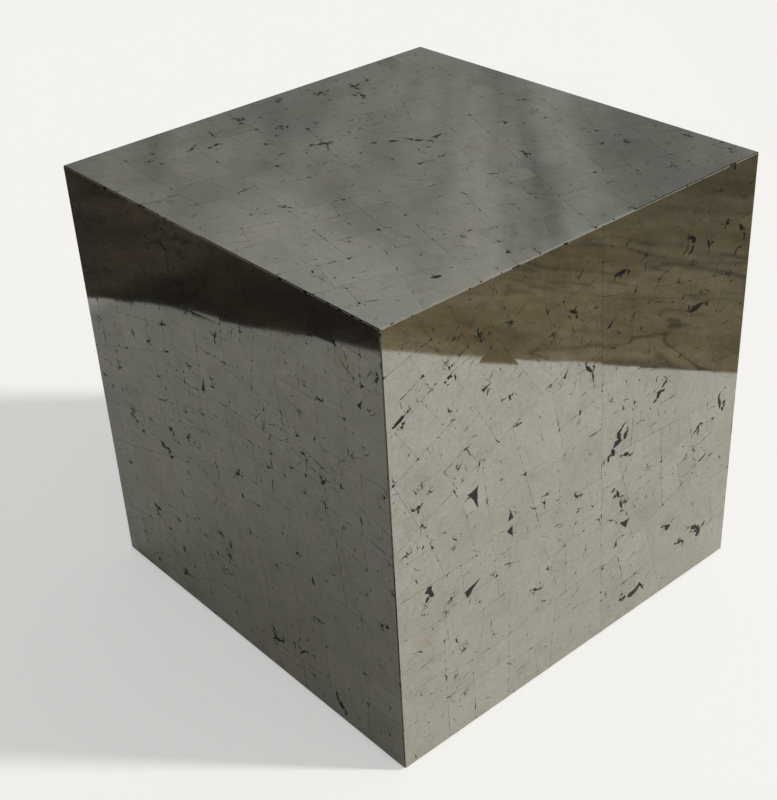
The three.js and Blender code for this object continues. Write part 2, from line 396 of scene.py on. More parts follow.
def slice_up(outline, grain, rng):
    """Saws a face into slices, each cut roughly along or across the way the slices run there."""
    slices, waiting = [], [outline]
    while waiting:
        piece = waiting.pop()
        centre = sum(piece, Vector((0, 0))) / len(piece)
        angle = grain(centre)
        long = max((angle, angle + 90), key=lambda a: span(piece, pointing(a)))
        length = span(piece, pointing(long))
        if length < rng.uniform(*SLICE_LENGTHS):
            slices.append(piece)
            continue
        for _ in range(CUT_TRIES):
            through = centre + pointing(long) * length * rng.uniform(-0.17, 0.17)
            parts = sawn(piece, through, pointing(long + 90 + rng.gauss(0, CUT_JITTER)))
            if min(area(p) for p in parts) > SMALLEST_SLICE:
                break
        waiting += parts
    return slices


SLICE_LENGTHS = (45 * MM, 84 * MM)
SMALLEST_SLICE = (16 * MM) ** 2
CUT_TRIES = 8
CUT_JITTER = 5  # degrees
STEP = 4 * MM  # along a slice's edge


def joint_width(point, seed):
    """Half the width of the joint at a point: mostly a hairline, wider here and there."""
    open_up = noise.noise(Vector((point.x * 22, point.y * 22, seed))) + 0.12
    flutter = noise.noise(Vector((point.x * 260, point.y * 260, seed)))
    return MM * (0.028 + 0.16 * max(0, open_up) * (1 + 0.8 * flutter))


def fitted(face, piece, seed):
    """A slice's edge, drawn in by half a joint except along the face's own edges."""
    edge = []
    count = len(piece)
    on_edge = [face.edges_at((a + b) / 2)[1] for a, b in zip(piece, piece[1:] + piece[:1])]
    inward = []
    for a, b in zip(piece, piece[1:] + piece[:1]):
        along = (b - a).normalized()
        inward.append(Vector((-along.y, along.x)))
    for i, (a, b) in enumerate(zip(piece, piece[1:] + piece[:1])):
        n, m = inward[i - 1], inward[i]
        gap, next_gap = (0 if on_edge[j] else joint_width(a, seed) for j in ((i - 1) % count, i))
        c = n @ m
        if abs(c) < 0.999:
            edge.append(a + (n * (gap - next_gap * c) + m * (next_gap - gap * c)) / (1 - c * c))
        else:
            edge.append(a + m * next_gap)
        steps = 1 if on_edge[i] else max(1, int((b - a).length / STEP))
        for k in range(1, steps):
            point = a.lerp(b, k / steps)
            edge.append(point + m * joint_width(point, seed))
    return edge


def chip(rng, at, length, width, turn, corners=8, rough=0.45):
    """A jagged outline, such as a hole where stone has broken away."""
    along, across = pointing(turn), pointing(turn + 90)
    outline = []
    for i in range(corners):
        angle = (i + rng.uniform(-0.35, 0.35)) * math.tau / corners
        reach = 1 - rough * rng.random()
        arm = along * length * math.cos(angle) + across * width * math.sin(angle)
        outline.append(at + arm * reach / 2)
    return outline


def wedge(rng, at, length, width, turn):
    """The ragged three-cornered gap that slices leave where they don't meet."""
    along, across = pointing(turn), pointing(turn + 90)
    corners = [
        along * 0.65 * length,
        across * 0.5 * width - along * 0.4 * length,
        across * -0.5 * width - along * 0.35 * length,
    ]
    outline = []
    for a, b in zip(corners, corners[1:] + corners[:1]):
        outline.append(at + a * rng.uniform(0.85, 1.25))
        for t in (0.28, 0.5, 0.74):
            outline.append(at + a.lerp(b, t + rng.uniform(-0.08, 0.08)) * rng.uniform(0.72, 1.12))
    return outline


def crack(rng, at, length, turn, width):
    """A crooked split that tapers to nothing at both ends."""
    steps = max(3, int(length / (3 * MM)))
    across = pointing(turn + 90)
    point = at - pointing(turn) * length / 2
    right, left = [], []
    for i in range(steps + 1):
        half = width * 0.5 * math.sin(math.pi * min(max(i / steps, 0.04), 0.96)) * rng.uniform(0.5, 1.3)
        right.append(point - across * half)
        left.append(point + across * half)
        point = point + pointing(turn + rng.gauss(0, 20)) * length / steps
    return right + left[::-1]


def crumble(rng, at, length, width, turn):
    """Where stone has broken away: a jagged hole, with smaller ones running on from it, and a split."""
    holes = [chip(rng, at, length, width, turn, rng.randint(8, 11), 0.5)]
    ends = [turn, turn + 180, turn + rng.uniform(50, 130) * rng.choice((-1, 1))]
    for bearing in ends if width > 2 * MM else ends[:1]:
        size = width * 0.8
        point = at + pointing(bearing) * (length if bearing % 180 == turn % 180 else width) * 0.38
        while size > 0.8 * MM and rng.random() < 0.8:
            bearing += rng.gauss(0, 45)
            size *= rng.uniform(0.55, 0.95)
            point = point + pointing(bearing) * size * rng.uniform(0.4, 0.9)
            length_on = size * rng.uniform(1.0, 1.9)
            holes.append(chip(rng, point, length_on, size, bearing + rng.gauss(0, 40), 7, 0.6))
        if rng.random() < 0.4:
            holes.append(crack(rng, point, rng.uniform(6, 18) * MM, bearing, rng.uniform(0.3, 0.9) * MM))
    for _ in range(rng.randint(0, 4) if width > 2 * MM else 0):
        crumb = at + pointing(rng.uniform(0, 360)) * (length * rng.uniform(0.6, 1.2) + MM)
        holes.append(chip(rng, crumb, rng.uniform(0.8, 2.4) * MM, rng.uniform(0.6, 1.3) * MM, turn, 5, 0.5))
    return holes


# How crumbly each face's stone is on the whole, and how crumbly it may get.
CRUMBLY = {"front": 1.00, "left": 1.35, "top": 0.50, "right": 0.85, "back": 0.80}
MOST_CRUMBLY = 1.7


def wear(face, point, seed):
    """How crumbly the stone is at a point, from 0 for sound: it comes in drifts."""
    drift = noise.fractal(Vector((point.x * 11, point.y * 11, seed * 3.7)), 0.6, 2.1, 3)
    return min(MOST_CRUMBLY, max(0, CRUMBLY[face.name] + 0.9 * drift))


def gaps_at_joints(face, slices, rng, seed):
    """Chips, wedges and crumbled places where slices meet, and splits along and into them."""
    gaps = []
    for piece in slices:
        middle = sum(piece, Vector((0, 0))) / len(piece)
        for corner, after in zip(piece, piece[1:] + piece[:1]):
            along = after - corner
            turn = math.degrees(math.atan2(along.y, along.x))
            size = MM * rng.lognormvariate(0.45, 0.5)
            worn = wear(face, corner, seed)
            luck = rng.random()
            if luck < 0.18 * worn:
                length = size * rng.uniform(1.2, 2.6)
                gaps += crumble(rng, corner, length, size, turn + rng.choice((0, 0, 90, 45)))
            elif luck < 0.32 * worn:
                gaps.append(chip(rng, corner, size * rng.uniform(1, 2), size, turn, 8, 0.6))
            elif luck < 0.36:
                gaps.append(wedge(rng, corner, size * 1.7, size * 1.1, turn + rng.uniform(-30, 30)))
            for _ in range(rng.randint(0, 1 + round(3 * worn))):
                at = corner.lerp(after, rng.uniform(0.05, 0.95))
                size = MM * rng.lognormvariate(0.1, 0.5)
                length = size * rng.uniform(1.5, 5)
                gaps.append(chip(rng, at, length, size * 0.5, turn + rng.gauss(0, 18), 7, 0.6))
            if rng.random() < 0.10 + 0.15 * worn:
                at = corner.lerp(middle, rng.uniform(0.1, 1.2))
                length = rng.uniform(7, 26) * MM
                gaps.append(crack(rng, at, length, rng.uniform(0, 180), rng.uniform(0.15, 0.45) * MM))
            for _ in range(rng.randint(0, round(1.6 * worn))):
                at = corner.lerp(middle, rng.uniform(0.2, 1.3)) + pointing(rng.uniform(0, 360)) * 5 * MM
                size = MM * rng.lognormvariate(0.25, 0.45)
                gaps += crumble(rng, at, size * rng.uniform(1, 2.2), size, rng.uniform(0, 180))
    return gaps


# Places where the cutter ran out of stone and filled in with resin: millimetres across and down from the
# face's upper left corner, length, width, and turn in degrees. The rest of them are crumbled.
POOLS = {
    "front": [
        (92, 196, 20, 12, -75, "wedge"), (267, 53, 21, 6, -4), (376, 128, 27, 10, 3),
        (230, 132, 17, 6, -48), (15, 85, 18, 6, 28), (106, 96, 11, 4, 20, "wedge"),
        (272, 228, 18, 11, 20), (328, 200, 13, 9, 60), (276, 288, 16, 6, -62),
        (281, 303, 15, 6, -68), (288, 328, 13, 11, 150, "wedge"), (85, 291, 19, 9, 28, "wedge"),
        (37, 265, 12, 11, 70), (134, 239, 9, 8, 90, "wedge"), (134, 255, 13, 8, -70, "wedge"),
        (305, 424, 18, 10, 5), (354, 368, 15, 9, -40), (398, 392, 17, 7, -20),
        (406, 402, 13, 9, 50), (376, 398, 9, 7, 0), (424, 254, 18, 7, -70),
        (392, 267, 9, 7, 45), (364, 57, 9, 8, 80), (386, 68, 14, 5, -70),
        (209, 68, 12, 5, -35), (257, 98, 12, 4, 40, "wedge"), (165, 338, 12, 4, -30),
        (276, 347, 9, 5, 80, "wedge"), (285, 247, 11, 5, -20), (29, 175, 7, 6, 0),
        (67, 69, 8, 4, 20), (200, 125, 8, 4, 60, "wedge"), (434, 69, 12, 6, -50),
    ],
    "left": [
        (410, 19, 19, 10, 10), (160, 30, 22, 3, -35), (164, 42, 26, 3, 85),
        (370, 95, 10, 4, 0), (106, 262, 12, 8, -40), (125, 236, 9, 8, 0),
        (156, 231, 8, 6, 60), (196, 157, 14, 6, 80, "wedge"), (112, 418, 11, 6, 50),
        (116, 387, 10, 6, -60), (270, 410, 12, 7, 10), (363, 431, 13, 9, -30),
        (421, 77, 9, 5, 60, "wedge"), (77, 355, 9, 7, 0), (226, 93, 8, 4, 80),
        (340, 343, 17, 3, -5), (437, 290, 9, 5, 30), (310, 400, 14, 5, 45),
    ],
    "top": [
        (231, 175, 9, 5, -30), (247, 186, 13, 7, -30), (264, 202, 15, 7, -50),
        (283, 207, 15, 6, 10, "wedge"), (283, 32, 10, 8, 0), (318, 42, 13, 7, 80),
        (307, 71, 12, 8, 80), (127, 67, 12, 6, 0), (106, 58, 14, 4, 35),
        (84, 174, 20, 3, -4), (239, 18, 9, 7, 60), (140, 42, 15, 3, 75),
        (307, 299, 12, 6, 50), (389, 347, 9, 4, 75), (350, 230, 9, 5, 75, "wedge"),
        (228, 244, 9, 4, 5, "wedge"), (85, 419, 12, 7, -20), (198, 75, 10, 6, -20),
    ],
    "right": [
        (60, 90, 22, 9, 25), (180, 60, 14, 10, 80, "wedge"), (330, 140, 24, 8, -15),
        (250, 230, 18, 12, 50, "wedge"), (90, 310, 16, 7, -60), (400, 300, 19, 9, 10),
        (210, 390, 13, 8, 0), (350, 400, 11, 9, 70, "wedge"), (140, 200, 9, 6, 0),
    ],
    "back": [
        (120, 70, 18, 7, -25), (300, 110, 21, 8, 12), (70, 220, 15, 10, 60, "wedge"),
        (220, 260, 25, 7, -50), (380, 230, 13, 9, 0), (160, 370, 17, 9, 35),
        (330, 350, 12, 8, 80, "wedge"), (410, 410, 16, 8, -20), (260, 420, 9, 6, 0),
    ],
}

# Which way the slices run on each face, in degrees, as (across, down, spread, degrees) in millimetres.
GRAINS = {
    "front": (0, [(90, 110, 110, 42), (400, 120, 120, -14), (330, 330, 90, 20)]),
    "left": (2, [(120, 260, 80, 22), (300, 120, 90, -6)]),
    "top": (72, [(80, 110, 100, 90), (400, 330, 120, 60)]),
    "right": (12, [(120, 330, 120, 48), (360, 90, 90, -20)]),
    "back": (-8, [(330, 330, 120, 35), (90, 90, 90, 70)]),
}


def grain_of(face):
    base, patches = GRAINS[face.name]

    def grain(point):
        angle = base
        for across, down, reach, turn in patches:
            away = (point - face.from_top_left(across, down)).length / (reach * MM)
            angle += (turn - base) * math.exp(-away * away)
        return angle

    return grain


class Grower(Graph):
    """A geometry tree with named inputs, each a wire in given. It ends as one plain mesh of one finish."""

    def __init__(self, name, **inputs):
        super().__init__(bpy.data.node_groups.new(name, "GeometryNodeTree"))
        sockets = self.tree.interface
        sockets.new_socket("Geometry", in_out="OUTPUT", socket_type="NodeSocketGeometry")
        for label, kind in inputs.items():
            sockets.new_socket(label, in_out="INPUT", socket_type="NodeSocket" + kind)
        entry = self.tree.nodes.new("NodeGroupInput")
        self.given = [Wire(self, entry.outputs[i]) for i in range(len(inputs))]

    def finish(self, shape, finish):
        real = self.add("GeometryNodeRealizeInstances", {}, {0: shape})
        done = self.add("GeometryNodeSetMaterial", {}, {"Geometry": real, "Material": finish})
        self.plug(self.tree.nodes.new("NodeGroupOutput").inputs[0], done)
        return self.tree


def pit_scatter(outlines):
    """Small pits, in drifts, over a sheet that is centred on the origin."""
    kinds = {"Width": "Float", "Height": "Float", "Density": "Float", "Radius": "Float", "Seed": "Int"}
    g = Grower("pit scatter", **kinds)
    width, height, density, radius, seed = g.given
    rows = {"Size X": width, "Size Y": height, "Vertices X": PIT_ROWS, "Vertices Y": PIT_ROWS}
    sheet = g.add("GeometryNodeMeshGrid", {}, rows)
    here = g.add("GeometryNodeInputPosition")
    shifted = g.vector("ADD", here, g.add("ShaderNodeCombineXYZ", {}, {2: seed * 7.3}))
    drift = g.clamp(g.noise(shifted, 26.0, 3.0, 0.6), 0.48, 0.70, 0.06, 1.0)
    sockets = {"Mesh": sheet, "Density": density * drift, "Seed": seed}
    points = g.add("GeometryNodeDistributePointsOnFaces", {}, sockets)
    sockets = {"Collection": outlines, "Separate Children": True, "Reset Children": True}
    pits = g.add("GeometryNodeCollectionInfo", {}, sockets)

    def chance(low, high, shift):
        return g.add("FunctionNodeRandomValue", {}, {2: low, 3: high, "Seed": seed + shift}, out=1)

    size = radius * (0.35 + 1.5 * chance(0.0, 1.0, 1) ** 3)
    stretch = g.add("ShaderNodeCombineXYZ", {}, {0: size * chance(1.0, 2.4, 2), 1: size, 2: 1.0})
    turn = g.add("ShaderNodeCombineXYZ", {}, {2: chance(0.0, math.tau, 3)})
    sockets = {"Points": points, "Instance": pits, "Pick Instance": True, "Rotation": turn, "Scale": stretch}
    return g.finish(g.add("GeometryNodeInstanceOnPoints", {}, sockets), RESIN)


def grown(tree, name, **sizes):
    """The plain mesh that a geometry tree makes."""
    carrier = bpy.data.objects.new(name, bpy.data.meshes.new(name))
    bpy.context.scene.collection.objects.link(carrier)
    modifier = carrier.modifiers.new("tree", "NODES")
    modifier.node_group = tree
    for item in tree.interface.items_tree:
        if item.in_out == "INPUT" and item.name in sizes:
            modifier[item.identifier] = sizes[item.name]
    carrier.update_tag()
    graph = bpy.context.evaluated_depsgraph_get()
    mesh = bpy.data.meshes.new_from_object(carrier.evaluated_get(graph))
    bpy.data.objects.remove(carrier)
    return mesh


def scattered_pits(face, tree, density, seed):
    width, height = face.right - face.left, face.high - face.low
    mesh = grown(tree, "pits", Width=width, Height=height, Density=density, Radius=PIT_RADIUS, Seed=seed)
    middle = Vector((0, (face.low + face.high) / 2))
    return [[mesh.vertices[i].co.xy + middle for i in p.vertices] for p in mesh.polygons]


PIT_ROWS = 80  # of the sheet's grid, fine enough for the drifts
PIT_RADIUS = 0.62 * MM
PIT_DENSITY = 9500  # to the square metre, where they lie thickest


class Layout:
    """The plan of a face as triangles, each of them part of one slice or of the resin."""

    RESIN = -1

    def __init__(self, face, slices, gaps):
        self.face = face
        points, plans = [], []
        for outline in [face.outline(), *slices, *gaps]:
            plans.append(list(range(len(points), len(points) + len(outline))))
            points += outline
        found = delaunay_2d_cdt(points, [], plans, 1, 1e-8, True)
        self.points, triangles, inside = found[0], found[2], found[5]
        self.owner, self.triangles = [], []
        for corners, plan_ids in zip(triangles, inside):
            if 0 not in plan_ids:
                continue
            holders = [i - 1 for i in plan_ids if 0 < i <= len(slices)]
            in_gap = any(i > len(slices) for i in plan_ids)
            self.owner.append(self.RESIN if in_gap or not holders else holders[0])
            self.triangles.append(tuple(corners))
        self.neighbour = {}
        for index, (a, b, c) in enumerate(self.triangles):
            for edge in ((a, b), (b, c), (c, a)):
                self.neighbour[edge] = index
        self.edges = [face.edges_at(p) for p in self.points]

    def rim(self):
        """The points round the face's own edge, in order."""
        follows = {a: b for (a, b), _, beyond in self.sides() if beyond is None}
        found = [next(iter(follows))]
        while follows[found[-1]] != found[0]:
            found.append(follows[found[-1]])
        return found

    def sides(self):
        """Each triangle's edges, with its owner and its neighbour's, which is None off the face."""
        for index, (a, b, c) in enumerate(self.triangles):
            for edge in ((a, b), (b, c), (c, a)):
                beyond = self.neighbour.get(edge[::-1])
                yield edge, self.owner[index], None if beyond is None else self.owner[beyond]


class Shell:
    """Collects a mesh's corners, which are points of a layout at a depth, and its faces."""

    def __init__(self, layout):
        self.layout, self.index, self.places = layout, {}, []
        self.faces, self.owners, self.shades = [], [], []

    def corner(self, point, depth):
        key = (point, depth)
        if key not in self.index:
            self.index[key] = len(self.places)
            self.places.append(self.layout.face.place(self.layout.points[point], depth))
        return self.index[key]

    def flat(self, corners, depth, owner, facing_out=True):
        self.faces.append([self.corner(p, depth) for p in (corners if facing_out else corners[::-1])])
        self.owners.append(owner)
        self.shades.append(1)

    def wall(self, edge, depths, owner, shade=1):
        """The walls behind an edge, one between each two depths that both of its ends have."""
        at_a, at_b = (depths(point) for point in edge)
        shared = [d for d in at_a if d in at_b]
        for top, bottom in zip(shared, shared[1:]):
            down = [self.corner(edge[0], d) for d in at_a if top <= d <= bottom]
            up = [self.corner(edge[1], d) for d in reversed(at_b) if top <= d <= bottom]
            self.faces.append([up[-1], *down, *up[:-1]])
            self.owners.append(owner)
            self.shades.append(shade)

    def mesh(self, name):
        made = bpy.data.meshes.new(name)
        made.from_pydata(self.places, [], self.faces)
        return made


def slices_mesh(layout, rng):
    """Every slice of a face, as closed plates with a look of their own and a slight lean, with painted shade
    on their joint walls and a painted dark reflection on the upright corner arrises.
    """
    shell = Shell(layout)
    face = layout.face

    def depths(point):
        return [0, ARRIS_DEPTH, SLICE] if layout.edges[point][0] else [0, SLICE]

    for corners, owner in zip(layout.triangles, layout.owner):
        if owner != Layout.RESIN:
            shell.flat(corners, 0, owner)
            shell.flat(corners, SLICE, owner, facing_out=False)
    for edge, owner, beyond in layout.sides():
        if owner != Layout.RESIN and beyond != owner:
            # Walls in the joints get painted shade and the upright corner arrises a painted dark reflection;
            # top and foot borders stay unshaded.
            upright = not face.flat and all(face.right - abs(layout.points[p].x) < TOUCHING for p in edge)
            shell.wall(edge, depths, owner, JOINT_AND_ARRIS_PAINTED_SHADE if upright or beyond is not None else 1)
    mesh = shell.mesh(f"slices_{face.name}")

    count = max(layout.owner) + 1
    looks = [(rng.gauss(1, 0.02), rng.random(), rng.random() ** 3) for _ in range(count)]
    leans = []
    for _ in range(count):
        lean = SLICE_LEAN * rng.choice((0.5, 1, 1, 1, 1, 1, 1, 5))
        x, y = rng.gauss(0, lean), rng.gauss(0, lean)
        leans.append(face.turn @ (Vector((x, y, 0)) if face.flat else Vector((x, 0, y))))
    shaded = [(shade * looks[o][0], *looks[o][1:]) for o, shade in zip(shell.owners, shell.shades)]
    for name, values in (("slice_look", shaded), ("slice_lean", [leans[o] for o in shell.owners])):
        layer = mesh.attributes.new(name, "FLOAT_VECTOR", "FACE")
        layer.data.foreach_set("vector", [v for value in values for v in value])
    return mesh


JOINT_AND_ARRIS_PAINTED_SHADE = 0.22  # painted shade on slice walls in the joints, and a painted dark reflection on the upright corner arrises
SLICE_LEAN = 0.0007  # radians


def resin_mesh(layout):
    """The resin of a face: in every joint, chip and pool, and in a bed behind the slices."""
    shell = Shell(layout)
    touched = {point: set() for point in range(len(layout.points))}
    for corners, owner in zip(layout.triangles, layout.owner):
        for point in corners:
            touched[point].add(owner == Layout.RESIN)

    def beside_slice(point):
        return [RESIN_DIP, ARRIS_DEPTH, SLICE] if layout.edges[point][0] else [RESIN_DIP, SLICE]

    def at_edge(point):
        depths = [RESIN_DIP, SLICE, BED_BACK] if False in touched[point] else [RESIN_DIP, BED_BACK]
        return sorted([*depths, ARRIS_DEPTH]) if layout.edges[point][0] else depths

    for corners, owner in zip(layout.triangles, layout.owner):
        shell.flat(corners, RESIN_DIP if owner == Layout.RESIN else SLICE, owner)
    shell.flat(layout.rim(), BED_BACK, Layout.RESIN, facing_out=False)
    for edge, owner, beyond in layout.sides():
        if owner == Layout.RESIN and beyond is None:
            shell.wall(edge, at_edge, owner)
        elif owner == Layout.RESIN and beyond != owner:
            shell.wall(edge, beside_slice, owner)
        elif beyond is None:
            shell.wall(edge, lambda point: [SLICE, BED_BACK], owner)
    return shell.mesh(f"resin_{layout.face.name}")


def piece(name, mesh, finish, body, slot, *nodes):
    """A finished piece that rides on a body and stands for some of its plain solids."""
    mesh.materials.clear()
    mesh.materials.append(finish)
    made = bpy.data.objects.new(name, mesh)
    bpy.context.scene.collection.objects.link(made)
    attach(made, body)
    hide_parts(*nodes)
    return made


def clad(name, seed):
    """One polished face and the resin behind it."""
    rng = random.Random(seed)
    face = Face(name)
    cut = slice_up(face.outline(), grain_of(face), rng)
    gaps = gaps_at_joints(face, cut, rng, seed)
    for across, down, length, width, turn, *clean in POOLS[name]:
        at = face.from_top_left(across, down)
        if clean:
            gaps.append(wedge(rng, at, length * MM, width * MM, turn))
        else:
            gaps += crumble(rng, at, length * MM, width * MM, turn)
    gaps += scattered_pits(face, PIT_TREE, PIT_DENSITY, seed)
    layout = Layout(face, [fitted(face, outline, seed) for outline in cut], gaps)
    piece(f"slices_{name}", slices_mesh(layout, rng), PYRITE, "table", "pyrite", f"pyrite_mosaic_{name}")
    piece(f"resin_{name}", resin_mesh(layout), RESIN, "table", "resin", f"resin_bed_{name}")


def pit_outlines():
    """A few jagged outlines, one unit in radius, for the pits to be picked from."""
    rng = random.Random(3)
    shapes = bpy.data.collections.new("pit outlines")
    for i in range(7):
        mesh = bpy.data.meshes.new("pit")
        outline = chip(rng, Vector((0, 0)), 2, 2, 0, 5, 0.55)
        mesh.from_pydata([(*p, 0) for p in outline], [], [range(5)])
        shapes.objects.link(bpy.data.objects.new("pit", mesh))
    return shapes


# ---------------------------------------------------------------- fasteners and glides

SMOOTH_ABOVE = math.radians(38)


def tidied(name, places, faces):
    """A closed mesh from loose faces: corners that meet are joined, and rounds are shaded smooth."""
    mesh = bpy.data.meshes.new(name)
    mesh.from_pydata(places, [], faces)
    shape = bmesh.new()
    shape.from_mesh(mesh)
    bmesh.ops.remove_doubles(shape, verts=shape.verts, dist=1e-6)
    bmesh.ops.recalc_face_normals(shape, faces=shape.faces)
    shape.to_mesh(mesh)
    shape.free()
    mesh.shade_smooth()
    mesh.set_sharp_from_angle(angle=SMOOTH_ABOVE)
    return mesh


def eased(profile, radius, steps=3):
    """A profile in which each corner between two long enough runs is rounded over."""
    found = [profile[0]]
    for before, corner, after in zip(profile, profile[1:], profile[2:]):
        b, c, a = (Vector(p) for p in (before, corner, after))
        reach = min(radius, (b - c).length * 0.45, (a - c).length * 0.45)
        start, end = c + (b - c).normalized() * reach, c + (a - c).normalized() * reach
        for i in range(steps + 1):
            t = i / steps
            found.append(tuple(start.lerp(c, t).lerp(c.lerp(end, t), t)))
    return found + [profile[-1]]


def turned(profile, sides=64, across_flats=0):
    """Faces of a shape turned about Z, from (radius, height) points given up along its outside. With
    across_flats, no point comes further out than a hexagon of that size."""
    places, faces, rings = [], [], []
    for radius, height in profile:
        if radius < 1e-9:
            rings.append([len(places)] * sides)
            places.append(Vector((0, 0, height)))
            continue
        rings.append(range(len(places), len(places) + sides))
        for i in range(sides):
            reach = radius
            if across_flats:
                off_flat = (i * math.tau / sides) % (math.pi / 3) - math.pi / 6
                reach = min(radius, across_flats / 2 / math.cos(off_flat))
            places.append(Vector((*(pointing(i * 360 / sides) * reach), height)))
    for low, high in zip(rings, rings[1:]):
        for i in range(sides):
            j = (i + 1) % sides
            corners = list(dict.fromkeys((low[i], low[j], high[j], high[i])))
            faces.append(corners)
    return places, faces


def thread():
    """A ridge that climbs round Z between two heights and dies away at both ends. Its three-sided
    section has its tip on the crest and its foot the given depth inside that."""
    inputs = ("Crest", "Tip", "Depth", "Pitch", "Low", "High")
    g = Grower("thread", **dict.fromkeys(inputs, "Float"))
    crest, tip, depth, pitch, low, high = g.given
    radius = depth * (2 / 3)
    sockets = {"Resolution": 20, "Rotations": (high - low) / pitch, "Height": high - low}
    ends = {"Start Radius": crest - radius, "End Radius": tip - radius}
    spiral = g.add("GeometryNodeCurveSpiral", {}, {**sockets, **ends})
    upright = g.add("GeometryNodeSetCurveNormal", {"mode": "Z_UP"}, {"Curve": spiral})
    along = g.add("GeometryNodeSplineParameter")
    fade = g.clamp(along, 0.0, 0.06) * g.clamp(along, 0.94, 1.0, 1.0, 0.0)
    section = g.add("GeometryNodeCurvePrimitiveCircle", {}, {"Resolution": 3, "Radius": radius})
    section = g.add("GeometryNodeTransform", {}, {0: section, "Rotation": (0.0, 0.0, math.pi)})
    sockets = {"Curve": upright, "Profile Curve": section, "Scale": 0.1 + 0.9 * fade, "Fill Caps": True}
    swept = g.add("GeometryNodeCurveToMesh", {}, sockets)
    raised = g.add("ShaderNodeCombineXYZ", {}, {2: low})
    return g.finish(g.add("GeometryNodeTransform", {}, {0: swept, "Translation": raised}), ZINC)


def ridge(name, crest, depth, pitch, low, high, taper=1):
    """A thread at a crest radius, which falls to the taper's share of it at the high end."""
    radii = {"Crest": crest, "Tip": crest * taper}
    return grown(THREAD, name, Depth=depth, Pitch=pitch, Low=low, High=high, **radii)


def joined(name, parts):
    """One mesh out of several."""
    shape = bmesh.new()
    for mesh in parts:
        shape.from_mesh(mesh)
    mesh = bpy.data.meshes.new(name)
    shape.to_mesh(mesh)
    shape.free()
    mesh.set_sharp_from_angle(angle=SMOOTH_ABOVE)
    return mesh


def cross(arm, width):
    """The outline of a cross recess, given anticlockwise."""
    outline = []
    for quarter in range(4):
        turn = Matrix.Rotation(quarter * math.pi / 2, 2)
        corners = ((arm, -width / 2), (arm, width / 2), (width * 0.7, width * 0.7))
        outline += [turn @ Vector(p) for p in corners]
    return outline


def wood_screw(name, node, crest, pitch):
    """A countersunk wood screw along Z, with the face of its head at z = 0."""
    low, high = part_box(node)
    head, length = (high.x - low.x) / 2, high.z - low.z
    shank, depth = crest * 0.72, (head - crest) * 1.2
    face = head - SCREW_EDGE
    rim = [pointing(i * 360 / SCREW_SIDES) * face for i in range(SCREW_SIDES)]
    recess = cross(head * 0.56, head * 0.24)
    count = len(recess)
    plans = [list(range(SCREW_SIDES)), list(range(SCREW_SIDES, SCREW_SIDES + count))]
    plan = delaunay_2d_cdt(rim + recess, [], plans, 1, 1e-8, True)
    places = [Vector((*p, 0)) for p in plan[0]]
    faces = [list(t) for t, ids in zip(plan[2], plan[5]) if ids == [0]]
    first = len(places)
    places += [Vector((*p, 0)) for p in recess]
    places += [Vector((*(p * 0.45), head * 0.5)) for p in recess]
    for i in range(count):
        j = (i + 1) % count
        faces.append([first + i, first + j, first + count + j, first + count + i])
    faces.append(list(range(first + count, first + 2 * count)))
    profile = [(face, 0), (head, SCREW_EDGE), (crest, depth), (shank, depth + 1.5 * MM)]
    profile = eased(profile, 0.3 * MM) + [(shank, length * 0.72), (shank * 0.8, length * 0.86)]
    profile += [(shank * 0.35, length - 0.8 * MM), (0, length)]
    turned_places, turned_faces = turned(profile, SCREW_SIDES)
    faces += [[i + len(places) for i in corners] for corners in turned_faces]
    solid = tidied(name, places + turned_places, faces)
    winding = ridge(name + "_thread", crest, crest * 0.42, pitch, length * 0.3, length - 1.5 * MM, 0.55)
    return joined(name, [solid, winding])


SCREW_SIDES = 48
SCREW_EDGE = 0.25 * MM  # eased all round the head


def set_out(source):
    """A fastener repeated in a row, and the row repeated at each quarter turn about the middle."""
    g = Grower("set out", Count="Int", First="Vector", Step="Vector")
    count, first, step = g.given
    line = g.add("GeometryNodeMeshLine", {}, {"Count": count, "Start Location": first, "Offset": step})
    part = g.add("GeometryNodeObjectInfo", {}, {"Object": source, "As Instance": True}, 4)
    row = g.add("GeometryNodeInstanceOnPoints", {}, {"Points": line, "Instance": part})
    middle = g.add("GeometryNodeMeshLine", {}, {"Count": 4, "Offset": (0.0, 0.0, 0.0)})
    turn = g.add("ShaderNodeCombineXYZ", {}, {2: g.add("GeometryNodeInputIndex") * (math.pi / 2)})
    sockets = {"Points": middle, "Instance": row, "Rotation": turn}
    return g.finish(g.add("GeometryNodeInstanceOnPoints", {}, sockets), ZINC)


def fasteners(name, one, node, nodes, count=1, step=0.0, from_top=False):
    """All of one kind of fastener in the table, as one piece, set out from the first one's box."""
    low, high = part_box(node)
    middle = (low + high) / 2
    first = (middle.x, middle.y, high.z if from_top else low.z)
    source = bpy.data.objects.new(name + "_source", one)
    mesh = grown(set_out(source), name, Count=count, First=first, Step=(step, 0.0, 0.0))
    mesh.set_sharp_from_angle(angle=SMOOTH_ABOVE)
    piece(name, mesh, ZINC, "table", "zinc", *nodes)


def base_screws():
    first, second = "base_screw_front_1", "base_screw_front_2"
    one = wood_screw("base_screw", first, 2.0 * MM, 1.8 * MM)
    nodes = [f"base_screw_{side}_{i}" for side in SIDES for i in (1, 2)]
    fasteners("base_screws", one, first, nodes, 2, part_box(second)[0].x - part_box(first)[0].x)


def top_screws():
    first = "top_screw_front_left"
    one = wood_screw("top_screw", first, 2.25 * MM, 2.2 * MM)
    one.transform(Matrix.Rotation(math.pi, 4, "X"))
    nodes = [f"top_screw_{corner}" for corner in CORNERS]
    fasteners("top_screws", one, first, nodes, from_top=True)


# An insert nut's radii and heights, and its outer thread.
NUT_BORE, NUT_BARREL, NUT_CREST = 5.3 * MM, 5.7 * MM, 6 * MM
NUT_FLANGE, NUT_LEAD = 1.5 * MM, 0.5 * MM
NUT_RIDGE, NUT_PITCH = 0.55 * MM, 1.6 * MM


